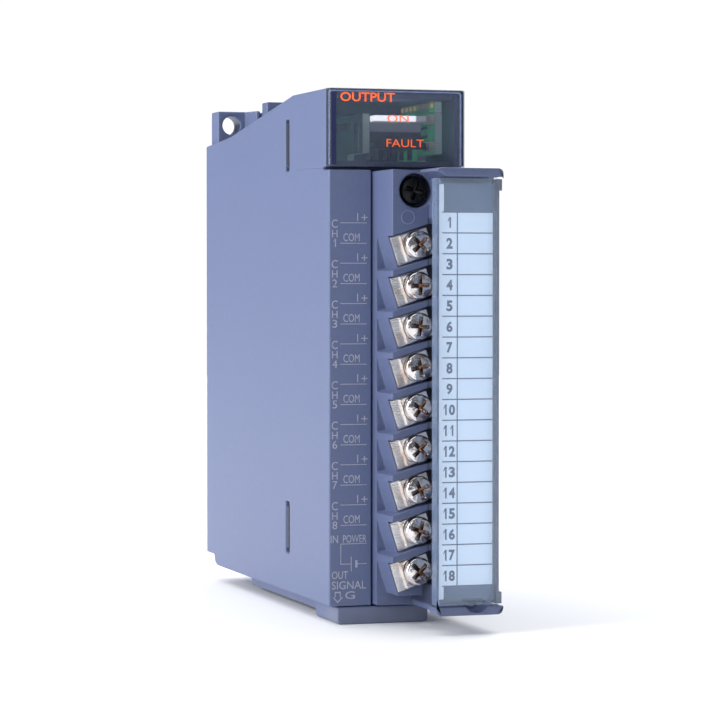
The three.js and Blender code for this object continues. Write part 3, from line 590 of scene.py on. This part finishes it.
def small_blocks(name, lows, highs, finish, body, rounding=0.05 * MM):
    """Many small rectangular parts as one mesh. A corner is low plus a share of the size."""
    lows = np.asarray(lows, float)[:, None, :]
    highs = np.asarray(highs, float)[:, None, :]
    millimetres = lows + BLOCK_CORNERS[None, :, :] * (highs - lows)
    corners = at(0.0, 0.0, 0.0) + millimetres.reshape(-1, 3) * MM
    faces = (np.arange(len(lows))[:, None, None] * 8 + BLOCK_FACES[None, :, :]).reshape(-1, 4)
    parts = shown(name, grid_mesh(name, corners, faces), finish)
    edge = parts.modifiers.new("soft_edges", "BEVEL")
    edge.width = rounding
    edge.segments = 2
    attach(parts, body)
    return parts


board_left_x, board_right_x = (from_case(corner)[0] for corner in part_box("main_board"))
board_face = board_left_x - 0.01
draw = np.random.default_rng(7)
part_y, part_z = np.meshgrid(np.arange(6.5, 22.0, 2.1), np.arange(87.4, 92.6, 1.7))
part_y = part_y.ravel() + draw.uniform(-0.25, 0.25, part_y.size)
part_z = part_z.ravel() + draw.uniform(-0.15, 0.15, part_z.size)
clear_of_guide = 8.2
kept = part_y > clear_of_guide
part_y, part_z = part_y[kept], part_z[kept]
part_low = np.column_stack([np.full(part_y.size, board_face - 0.45), part_y, part_z])
part_high = np.column_stack([np.full(part_y.size, board_face), part_y + 1.0, part_z + 0.55])
small_blocks("chip_resistors", part_low, part_high, chip_resin, "module")

gold = speckled("gold_contacts", (0.80, 0.58, 0.24), (0.70, 0.48, 0.18), 900.0, 0.24, Metallic=1.0)
riser_low = [board_left_x + 0.02, 4.6, 93.4]
riser_high = [board_right_x - 0.02, 23.8, 95.95]
small_blocks(
    "board_riser", [riser_low], [riser_high], main_resist, "module", 0.08 * MM
)
pad_y = np.arange(5.2, 23.0, 2.5)
pad_left = np.full(pad_y.size, board_face - 0.06)
pad_low = np.column_stack([pad_left, pad_y, np.full(pad_y.size, 94.95)])
pad_high = np.column_stack([pad_left + 0.09, pad_y + 1.5, np.full(pad_y.size, 95.75)])
pad_gold = speckled("pad_gold", (0.70, 0.44, 0.15), (0.58, 0.34, 0.10), 900.0, 0.3)
# The pads glow faintly: painted light, as they are no lamp.
pad_gold.shader.inputs["Emission Color"].default_value = (0.42, 0.25, 0.09, 1.0)
pad_gold.shader.inputs["Emission Strength"].default_value = 0.8
small_blocks("board_pads", pad_low, pad_high, pad_gold, "module", 0.01 * MM)

output_face = from_case(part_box("output_board")[0])[0]
lead_y = np.concatenate([np.arange(6.2, 9.0, 0.7), np.arange(12.0, 19.5, 0.9)])
long_lead = lead_y < 9.0
lead_z = np.where(long_lead, 86.4, 90.6)
lead_low = np.column_stack([np.full(lead_y.size, output_face - 0.30), lead_y, lead_z])
lead_high = lead_low + np.array([0.30, 0.22, 1.7])
lead_high[long_lead, 2] += 3.4
lead_tin = speckled("lead_tin", (0.42, 0.46, 0.50), (0.55, 0.58, 0.62), 900.0, 0.35, Metallic=0.4)
small_blocks("output_leads", lead_low, lead_high, lead_tin, "module", 0.03 * MM)

# ---------------------------------------------------------------- indicators and their light guide
# Two surface-mounted lamps in pale epoxy on the main board, and a milky moulded guide whose
# bars carry their light to the window. The guide is white and glows where the lit lamp feeds its top
# bar; below that it is painted grey with a faint painted glow, and lower down near black, which is
# painted shade.
# Tinned header pins stand behind the lower bar.
lamp_epoxy = speckled("lamp_epoxy", (0.74, 0.70, 0.58), (0.80, 0.77, 0.68), 500.0, 0.2, Coat_Weight=0.5)
dress("led_run", lamp_epoxy)
dress("led_error", lamp_epoxy)

guide_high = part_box("light_guide")[1]
milky = Finish("milky_guide", Roughness=0.3, IOR=1.5)
milky.shader.inputs["Emission Strength"].default_value = 1.7
lit = milky.ramp(milky.axis("Z"), guide_high.z - 1.25 * MM, guide_high.z - 0.95 * MM)
near_lamp = milky.ramp(milky.axis("X"), guide_high.x - 1.9 * MM, guide_high.x - 2.3 * MM)
haze = milky.noise(260.0)
# Painted shade and light: below the lit top the guide is painted grey, lower down near black, and the
# grey band is given a faint glow.
web = milky.ramp(milky.axis("Z"), guide_high.z - 3.1 * MM, guide_high.z - 2.8 * MM)
guide_lamp_light_and_painted_shade = milky.blend(web, (0.030, 0.035, 0.045), (0.15, 0.165, 0.20))
guide_lamp_light_and_painted_shade = milky.blend(lit, guide_lamp_light_and_painted_shade, (0.97, 0.97, 0.98))
web_glow = milky.blend(web, (0.0, 0.0, 0.0), (0.05, 0.056, 0.070))
milky.set(
    Base_Color=milky.blend(haze * 0.1, guide_lamp_light_and_painted_shade, (0.40, 0.43, 0.47)),
    Emission_Color=milky.blend(lit * near_lamp, web_glow, (0.92, 0.94, 1.0)),
)
milky.bump(haze, 0.03 * MM)
moulded("light_guide", 0.12 * MM, milky, "module")

pin_x = 9.9 + 1.7 * np.arange(6)
pins_low = np.column_stack([pin_x, np.full(pin_x.size, 7.9), np.full(pin_x.size, 84.8)])
pins_high = pins_low + np.array([0.9, 0.7, 4.6])
dull_tin = speckled("dull_tin", (0.24, 0.26, 0.29), (0.34, 0.36, 0.38), 900.0, 0.45, Metallic=0.6)
small_blocks("header_pins", pins_low, pins_high, dull_tin, "module")

# ---------------------------------------------------------------- indicator window
# A smoky clear cap in polished polycarbonate closes the front of the case over the lamps. Its
# rim is backed by the case and reads dark, and the step inside the rim catches the light; both are
# painted, as a dark band of shade and a pale glowing band of highlight.
smoky = Finish("smoky_clear", IOR=1.58, Alpha=0.34, Specular_IOR_Level=0.5)
streak = smoky.noise(40.0, 4.0, smoky.stretched((1.0, 1.0, 3.0)))
smoky.set(
    Base_Color=smoky.blend(streak, (0.105, 0.125, 0.185), (0.135, 0.160, 0.225)),
    Roughness=0.05 + streak * 0.06,
)
smoky.bump(streak, 0.02 * MM)
moulded("led_window", 0.16 * MM, smoky, "module", 3)


def rim_band(name, left, right, bottom, top, width, y0, y1, corner, finish):
    """A band up the left of a rectangle, along its top and down its right, with round top
    corners. A box section is carried along the path: each point of the path is doubled, once
    on it and once a width inside, and both are set at two depths."""
    turn = np.linspace(0.0, math.pi / 2, 7)
    across = np.concatenate([[-1.0], -np.cos(turn), np.sin(turn), [1.0]])
    up = np.concatenate([[0.0], np.sin(turn), np.cos(turn), [0.0]])
    side = np.repeat([-1.0, 1.0], 8)
    middle_x = (left + right) / 2
    arm = (right - left) / 2 - corner
    rings = []
    for step in (0.0, width):
        radius = corner - step
        x = middle_x + side * arm + across * radius
        z = top - corner + up * radius
        z[[0, -1]] = bottom
        rings += [(x, y0, z), (x, y1, z)]
    order = (0, 1, 3, 2)
    points = np.stack([
        np.column_stack([rings[k][0], np.full(up.size, rings[k][1]), rings[k][2]]) for k in order
    ])
    count = up.size
    along = np.arange(count - 1)
    sides = [
        np.column_stack([
            k * count + along,
            k * count + along + 1,
            (k + 1) % 4 * count + along + 1,
            (k + 1) % 4 * count + along,
        ])
        for k in range(4)
    ]
    ends = np.array([np.arange(4) * count, np.arange(4) * count + count - 1])
    mesh = grid_mesh(
        name, at(0.0, 0.0, 0.0) + points.reshape(-1, 3) * MM, np.concatenate([*sides, ends])
    )
    work = bmesh.new()
    work.from_mesh(mesh)
    bmesh.ops.recalc_face_normals(work, faces=work.faces)
    work.to_mesh(mesh)
    work.free()
    band = shown(name, mesh, finish)
    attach(band, "module")
    return band


window_right = from_case(window_high)[0]
window_bottom = from_case(window_low)[2]
# Painted highlight: a pale, faintly glowing band stands for the light caught by the step inside the
# rim.
rim_painted_highlight = speckled(
    "rim_painted_highlight", (0.26, 0.36, 0.62), (0.34, 0.44, 0.70), 700.0, 0.2, Coat_Weight=0.6
)
rim_painted_highlight.shader.inputs["Emission Color"].default_value = (0.10, 0.14, 0.26, 1.0)
rim_painted_highlight.shader.inputs["Emission Strength"].default_value = 0.6
# Painted shade: a near-black band stands for the rim's shade.
rim_painted_shade = speckled("rim_painted_shade", (0.006, 0.012, 0.042), (0.010, 0.018, 0.056), 900.0, 0.25)
rim_band(
    "window_step_highlight",
    left=0.22,
    right=window_right - 0.55,
    bottom=window_bottom + 0.35,
    top=case_height - 0.38,
    width=0.20,
    y0=1.05,
    y1=1.5,
    corner=0.7,
    finish=rim_painted_highlight,
)
rim_band(
    "window_rim_shade",
    left=0.06,
    right=window_right - 0.06,
    bottom=window_bottom + 0.3,
    top=case_height - 0.06,
    width=0.14,
    y0=1.05,
    y1=1.9,
    corner=0.5,
    finish=rim_painted_shade,
)
# Painted shade: a dark blue band down the window's left edge, drawn in the ink finish, stands for the
# shade inside the window's rounded edge.
window_edge_painted_shade = ink("window_edge_painted_shade", (0.008, 0.016, 0.085), (0.012, 0.024, 0.11))
shade_strip = bar((0.46, 83.55), (1.42, 97.1), ink_y)
printed("window_side_shade", [shade_strip], window_edge_painted_shade, "module")

# The orange print glows: painted light, as print is no lamp.
orange = ink("signal_orange_ink", (1.0, 0.155, 0.03), (0.90, 0.12, 0.02), 0.42)
window_marks = [
    lettering("OUTPUT", (2.24, 95.45), (13.1, 97.2), ink_y, 0.014),
    lettering("ON", (11.56, 91.68), (15.83, 93.05), ink_y),
    lettering("FAULT", (11.42, 86.97), (18.92, 88.45), ink_y),
]
printed("window_print", window_marks, orange, "module")

# ---------------------------------------------------------------- rear connector
# A black shrouded plug on the main board with two rows of gilt blades. It stands in an opening
# in the case's rear wall and enters the base unit.
moulded("backplane_connector", 0.15 * MM, black_moulding, "module")
contact_count = 18
contact_pitch = 1.27
contact_z = from_case(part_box("backplane_connector")[0])[2] + 5.0
contact_z = contact_z + np.arange(contact_count) * contact_pitch
contact_row = np.column_stack([
    np.zeros(contact_count),
    np.full(contact_count, 83.8),
    contact_z,
])
contact_lows = np.concatenate([contact_row + (x, 0.0, 0.0) for x in (11.88, 15.0)])
contact_highs = contact_lows + np.array([0.12, 2.2, 0.6])
small_blocks(
    "connector_contacts", contact_lows, contact_highs, gold, "module", 0.02 * MM
)

# ---------------------------------------------------------------- threaded inserts
# Two turned brass inserts behind the pocket, pressed into the case, take the terminal block's
# fixing screws.
brass = Finish("turned_brass", Metallic=1.0)
turning = brass.noise(900.0, 2.0, brass.stretched((1.0, 8.0, 1.0)))
brass.set(
    Base_Color=brass.blend(turning, (0.60, 0.42, 0.16), (0.72, 0.54, 0.25)),
    Roughness=0.28 + turning * 0.2,
)
brass.bump(turning, 0.02 * MM)
dress("fixing_nut_top", brass)
dress("fixing_nut_bottom", brass)

# ---------------------------------------------------------------- terminal block
# One moulding in glass-filled nylon, a shade darker than the case: nine slanted channels with
# stepped pedestals for two columns of terminals, and two arms that carry the cover's hinge.
block_plastic = moulded_plastic(
    "block_plastic", (0.092, 0.116, 0.218), (0.103, 0.129, 0.238), 0.01 * MM, 0.40
)
# Painted shade: deep in the channels of the second column of terminals the block is painted nearly
# black, standing for the shade there; the outer wall, the foot and the top keep the block's own colour.
behind = block_plastic.ramp(block_plastic.axis("Y"), at(0, -15.6, 0)[1], at(0, -15.0, 0)[1])
across = block_plastic.axis("X")
second_row = block_plastic.ramp(across, at(15.4, 0, 0)[0], at(15.9, 0, 0)[0])
inside_wall = block_plastic.ramp(across, at(25.9, 0, 0)[0], at(25.5, 0, 0)[0])
upward = block_plastic.axis("Z")
in_channels = block_plastic.ramp(upward, at(0, 0, 73.5)[2], at(0, 0, 73.0)[2])
above_foot = block_plastic.ramp(upward, at(0, 0, 0.9)[2], at(0, 0, 1.4)[2])
shade = behind * second_row * inside_wall * in_channels * above_foot
block_plastic.set(
    Base_Color=block_plastic.blend(shade * 0.7, block_plastic.tone, (0.01, 0.012, 0.022))
)
moulded("terminal_block_body", 0.18 * MM, block_plastic, "terminal_block")

relief_y = -11.604
ring_middle = np.array([11.72, 73.42])
ring_radius = 1.30
ring_turn = np.linspace(0.0, 2 * math.pi, 48, endpoint=False)
ring_points = ring_middle + ring_radius * np.column_stack([np.cos(ring_turn), np.sin(ring_turn)])
embossed = [
    outline(ring_points, ring_middle, 0.92, relief_y),
]
# Painted highlight: the raised ring is painted much paler than the block it is moulded with, standing
# for the light its edges catch.
lit_relief = moulded_plastic(
    "relief_highlight_plastic", (0.22, 0.25, 0.39), (0.25, 0.28, 0.43), 0.01 * MM, 0.4
)
printed("block_relief", embossed, lit_relief, "terminal_block", 0.1 * MM)

# ---------------------------------------------------------------- terminal plates and washers
# Pressed brass plates, nickel-plated, each with a square clamping washer and a contact leg
# that reaches back through the block into the header.
nickel = Finish("bright_nickel", Metallic=1.0)
drawn_out = nickel.noise(700.0, 3.0, nickel.stretched((1.0, 1.0, 6.0)))
stain = nickel.ramp(nickel.noise(240.0, 4.0), 0.45, 0.8)
nickel.set(
    Base_Color=nickel.blend(stain, (0.92, 0.87, 0.83), (0.66, 0.52, 0.43)),
    Roughness=0.16 + drawn_out * 0.16,
)
nickel.bump(drawn_out, 0.04 * MM)
terminal_count = 18
for number in range(1, terminal_count + 1):
    moulded(f"terminal_plate_{number:02d}", 0.1 * MM, nickel, "terminal_block")


# ---------------------------------------------------------------- screws
# Pan-head machine screws with a cross recess: eighteen bright nickel-plated M3 terminal screws
# and two black ones that hold the block to the case. Each is left turned its own way.
def screw_mesh(name, x, z, head_y, seat_y, end_y, radius, shank, recess, turned, depth):
    """A lathe profile round a Y axis, from the head's middle over its crown and down the shank.
    Inside the recess the crown drops by a depth that falls off towards the arms' ends, wherever
    a point lies nearer to one of two crossed lines than the arm's half width."""
    around = 96
    steps = 34
    crown = 0.24 * (seat_y - head_y)
    fillet = 0.22 * radius
    flat = radius - fillet
    out = np.linspace(0.0, flat, steps)
    bend = np.linspace(0.15, 1.0, 8) * math.pi / 2
    r = np.concatenate([
        out,
        flat + fillet * np.sin(bend),
        [radius, shank, shank, shank * 0.7],
    ])
    y = np.concatenate([
        head_y + crown * (out / radius) ** 2,
        head_y + crown * (flat / radius) ** 2 + fillet * (1 - np.cos(bend)),
        [seat_y, seat_y, end_y - 0.3 * MM, end_y],
    ])
    angle = np.linspace(0.0, 2 * math.pi, around, endpoint=False)
    rr, aa = np.meshgrid(r[1:], angle, indexing="ij")
    yy = np.repeat(y[1:, None], around, axis=1)
    local = aa - turned
    off_line = np.minimum(np.abs(np.sin(local)), np.abs(np.cos(local))) * rr
    half_width = 0.15 * recess + 0.06 * rr
    wall = np.clip((half_width - off_line) / (0.07 * recess) + 0.5, 0.0, 1.0)
    tip = np.clip((recess - rr) / (0.10 * recess) + 0.5, 0.0, 1.0)
    drop = depth * (1.0 - 0.62 * np.clip(rr / recess, 0.0, 1.0)) * wall * tip
    on_crown = (np.arange(len(r) - 1) < steps + 4)[:, None]
    yy = yy + np.where(on_crown, drop, 0.0)
    points = np.stack([x + rr * np.cos(aa), yy, z + rr * np.sin(aa)], axis=-1).reshape(-1, 3)
    first = np.array([[x, y[0] + depth, z]])
    last = np.array([[x, end_y, z]])
    vertices = np.concatenate([points, first, last])
    rows = len(r) - 1
    ring = np.arange(around)
    after = (ring + 1) % around
    faces = []
    for row in range(rows - 1):
        a = row * around
        b = a + around
        faces.extend(np.column_stack([a + ring, a + after, b + after, b + ring]).tolist())
    top = len(points)
    faces.extend(np.column_stack([np.full(around, top), after, ring]).tolist())
    base = (rows - 1) * around
    faces.extend(np.column_stack([base + ring, base + after, np.full(around, top + 1)]).tolist())
    mesh = bpy.data.meshes.new(name)
    mesh.from_pydata(vertices.tolist(), [], faces)
    work = bmesh.new()
    work.from_mesh(mesh)
    bmesh.ops.recalc_face_normals(work, faces=work.faces)
    work.to_mesh(mesh)
    work.free()
    sunk = np.zeros(len(vertices))
    sunk[:len(points)] = np.where(on_crown, drop / depth, 0.0).ravel()
    sunk[len(points)] = 1.0
    mesh.attributes.new("sunk", "FLOAT", "POINT").data.foreach_set("value", sunk)
    mesh.shade_smooth()
    mesh.set_sharp_from_angle(angle=math.radians(38))
    return mesh


def screw(node, finish, body, turned, shank, head_height):
    """One screw in the place and size of its CAD piece, with its recess turned by an angle."""
    recess = 1.75 * MM
    low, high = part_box(node)
    radius = (high.x - low.x) / 2
    mesh = screw_mesh(
        node + "_turned",
        (low.x + high.x) / 2,
        (low.z + high.z) / 2,
        low.y,
        low.y + head_height,
        high.y,
        radius,
        shank,
        recess,
        turned,
        0.62 * head_height,
    )
    piece = shown(node + "_turned", mesh, finish)
    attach(piece, body)
    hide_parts(node)
    return piece


screw_nickel = Finish("screw_nickel", Metallic=1.0)
rolled = screw_nickel.noise(520.0, 3.0)
tarnish = screw_nickel.ramp(screw_nickel.noise(520.0, 4.0), 0.48, 0.70)
sunk = screw_nickel.node("ShaderNodeAttribute", {"attribute_name": "sunk"}, {}, "Fac")
plated = screw_nickel.blend(tarnish, (0.74, 0.71, 0.71), (0.36, 0.27, 0.23))
# Painted shade: the cross recess is painted dark brown, darker with depth, standing for the shade
# inside it.
recess_painted_shade = screw_nickel.ramp(sunk, 0.05, 0.75)
screw_nickel.set(
    Base_Color=screw_nickel.blend(recess_painted_shade, plated, (0.17, 0.095, 0.065)),
    Roughness=0.06 + rolled * 0.12,
)
screw_nickel.bump(rolled, 0.14 * MM)
turns = np.random.default_rng(11).uniform(0.0, math.pi / 2, terminal_count + 2)
for number in range(1, terminal_count + 1):
    screw(
        f"terminal_screw_{number:02d}",
        screw_nickel,
        f"screw_{number:02d}",
        turns[number - 1],
        1.5 * MM,
        1.8 * MM,
    )

blackened = Finish("blackened_steel", Metallic=0.7)
oxide = blackened.noise(800.0, 3.0)
blackened.set(
    Base_Color=blackened.blend(oxide, (0.006, 0.006, 0.007), (0.016, 0.016, 0.018)),
    Roughness=0.20 + oxide * 0.2,
)
blackened.bump(oxide, 0.04 * MM)
for index, place in enumerate(("top", "bottom")):
    screw(
        f"fixing_screw_{place}",
        blackened,
        f"{place}_fixing_screw",
        turns[terminal_count + index],
        1.3 * MM,
        2.0 * MM,
    )

# ---------------------------------------------------------------- label card
# A printed card lies behind the cover: eighteen numbered rows between two grey bands, with a
# column for the number and an empty one for the user's own note.
card_low, card_high = (from_case(corner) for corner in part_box("label_card"))
card = Finish("label_card", Roughness=0.55)
row_top_z = 74.2
row_pitch = 3.816
row_count = 18
row_bottom_z = row_top_z - row_pitch * row_count
band_top = at(0, 0, row_top_z)[2]
band_bottom = at(0, 0, row_bottom_z)[2]
paper = card.noise(1200.0, 3.0)
height_on_card = card.axis("Z")
blur = 0.01 * MM
in_top_band = card.ramp(height_on_card, band_top - blur, band_top + blur)
in_bottom_band = card.ramp(height_on_card, band_bottom + blur, band_bottom - blur)
margin = at(card_low[0] + 0.85, 0, 0)[0]
off_margin = card.ramp(card.axis("X"), margin - blur, margin + blur)
white = card.blend(paper, (0.64, 0.76, 0.92), (0.70, 0.82, 0.96))
in_band = (in_top_band + in_bottom_band) * off_margin
card_tone = card.blend(in_band, white, (0.055, 0.085, 0.175))
# The card also glows faintly: painted light that brightens it behind the clear cover.
card.set(Base_Color=card_tone, Emission_Color=card_tone)
card.shader.inputs["Emission Strength"].default_value = 0.16
card.bump(paper, 0.008 * MM)
dress("label_card", card)

divider_x = 18.18
digit_middle = 16.66
figure_width = 1.2
one_width = 0.63
half_figure = 1.0
stroke = 0.31
rule = 0.11
figure_y = card_low[1] - 0.004
rule_y = card_low[1] - 0.005
card_marks = [bar((divider_x - rule, row_bottom_z), (divider_x + rule, row_top_z), figure_y)]
for row in range(row_count + 1):
    z = row_top_z - row * row_pitch
    card_marks.append(bar((card_low[0] + 0.55, z - rule), (card_high[0] - 0.05, z + rule), rule_y))
for row in range(row_count):
    digits = str(row + 1)
    middle_z = row_top_z - (row + 0.5) * row_pitch
    low_z, high_z = middle_z - half_figure, middle_z + half_figure
    figure_left = digit_middle - figure_width / 2
    if len(digits) == 2:
        ten_left = digit_middle - 1.15
        card_marks += figure_one((ten_left, low_z), (ten_left + one_width, high_z), figure_y, stroke)
        figure_left = digit_middle - 0.10
    if digits[-1] == "1":
        one_left = figure_left + 0.25
        card_marks += figure_one((one_left, low_z), (one_left + one_width, high_z), figure_y, stroke)
    else:
        figure_right = figure_left + figure_width
        figure = (digits[-1], (figure_left, low_z), (figure_right, high_z), figure_y, 0.042)
        card_marks.append(lettering(*figure))
card_ink = ink("card_ink", (0.05, 0.07, 0.15), (0.085, 0.11, 0.21))
printed("card_print", card_marks, card_ink, "cover")

# ---------------------------------------------------------------- terminal cover
# A clear polycarbonate door in front of both columns. It turns on two short pins at its right,
# in the block's arms, and its polished edges gather light.
clear = Finish("clear_cover", IOR=1.5, Alpha=0.13, Specular_IOR_Level=0.5)
flow = clear.noise(60.0, 3.0)
clear.set(
    Base_Color=clear.blend(flow, (0.62, 0.78, 1.0), (0.70, 0.84, 1.0)),
    Roughness=0.03 + flow * 0.05,
)
clear.bump(flow, 0.02 * MM)
moulded("terminal_cover", 0.15 * MM, clear, "cover")

cover_low, cover_high = (from_case(corner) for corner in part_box("terminal_cover"))
ear_reach = 0.7
ear_height = 2.1
pin_reach = 1.1
side_depth = 3.0
cover_left = cover_low[0]
cover_right = cover_high[0] - ear_reach
cover_front = cover_low[1]
side_back = cover_front + side_depth - 0.1
side_bottom = cover_low[2] + pin_reach + 0.1
side_top = cover_high[2] - pin_reach - 0.1
# Painted shade: half-clear dark sheets inside the cover's two side walls, grey at the hinge side and
# its ears and blue at the free side, stand for the shade seen through the thick clear walls.
hinge_edge_painted_shade = speckled(
    "cover_hinge_shade", (0.070, 0.085, 0.130), (0.095, 0.11, 0.160), 500.0, 0.12, Alpha=0.85
)
free_edge_painted_shade = speckled(
    "cover_free_edge_shade", (0.055, 0.095, 0.21), (0.075, 0.125, 0.26), 500.0, 0.12, Alpha=0.6
)
small_blocks(
    "cover_hinge_shade_sheet",
    [
        [cover_right - 0.55, cover_front + 0.08, side_bottom],
        [cover_right - 0.05, cover_front + 0.48, side_bottom],
        [cover_right - 0.05, cover_front + 0.48, side_top - ear_height],
    ],
    [
        [cover_right - 0.06, side_back, side_top],
        [cover_right + 0.62, side_back, side_bottom + ear_height],
        [cover_right + 0.62, side_back, side_top],
    ],
    hinge_edge_painted_shade,
    "cover",
)
small_blocks(
    "cover_free_shade_sheet",
    [[cover_left + 0.1, cover_front + 0.35, side_bottom]],
    [[cover_left + 0.4, side_back, side_top]],
    free_edge_painted_shade,
    "cover",
)

# ---------------------------------------------------------------- fixing hook and its pin
# A sprung lever at the rear top, in the case's plastic, turns on a ground steel pin and holds
# the module to the base unit.
moulded("fixing_hook", 0.3 * MM, case_plastic, "hook")
ground = Finish("ground_steel", Metallic=1.0)
lay = ground.noise(600.0, 2.0, ground.stretched((0.2, 4.0, 4.0)))
ground.set(
    Base_Color=ground.blend(lay, (0.50, 0.51, 0.53), (0.62, 0.63, 0.65)),
    Roughness=0.25 + lay * 0.15,
)
ground.bump(lay, 0.02 * MM)
dress("hook_pin", ground)
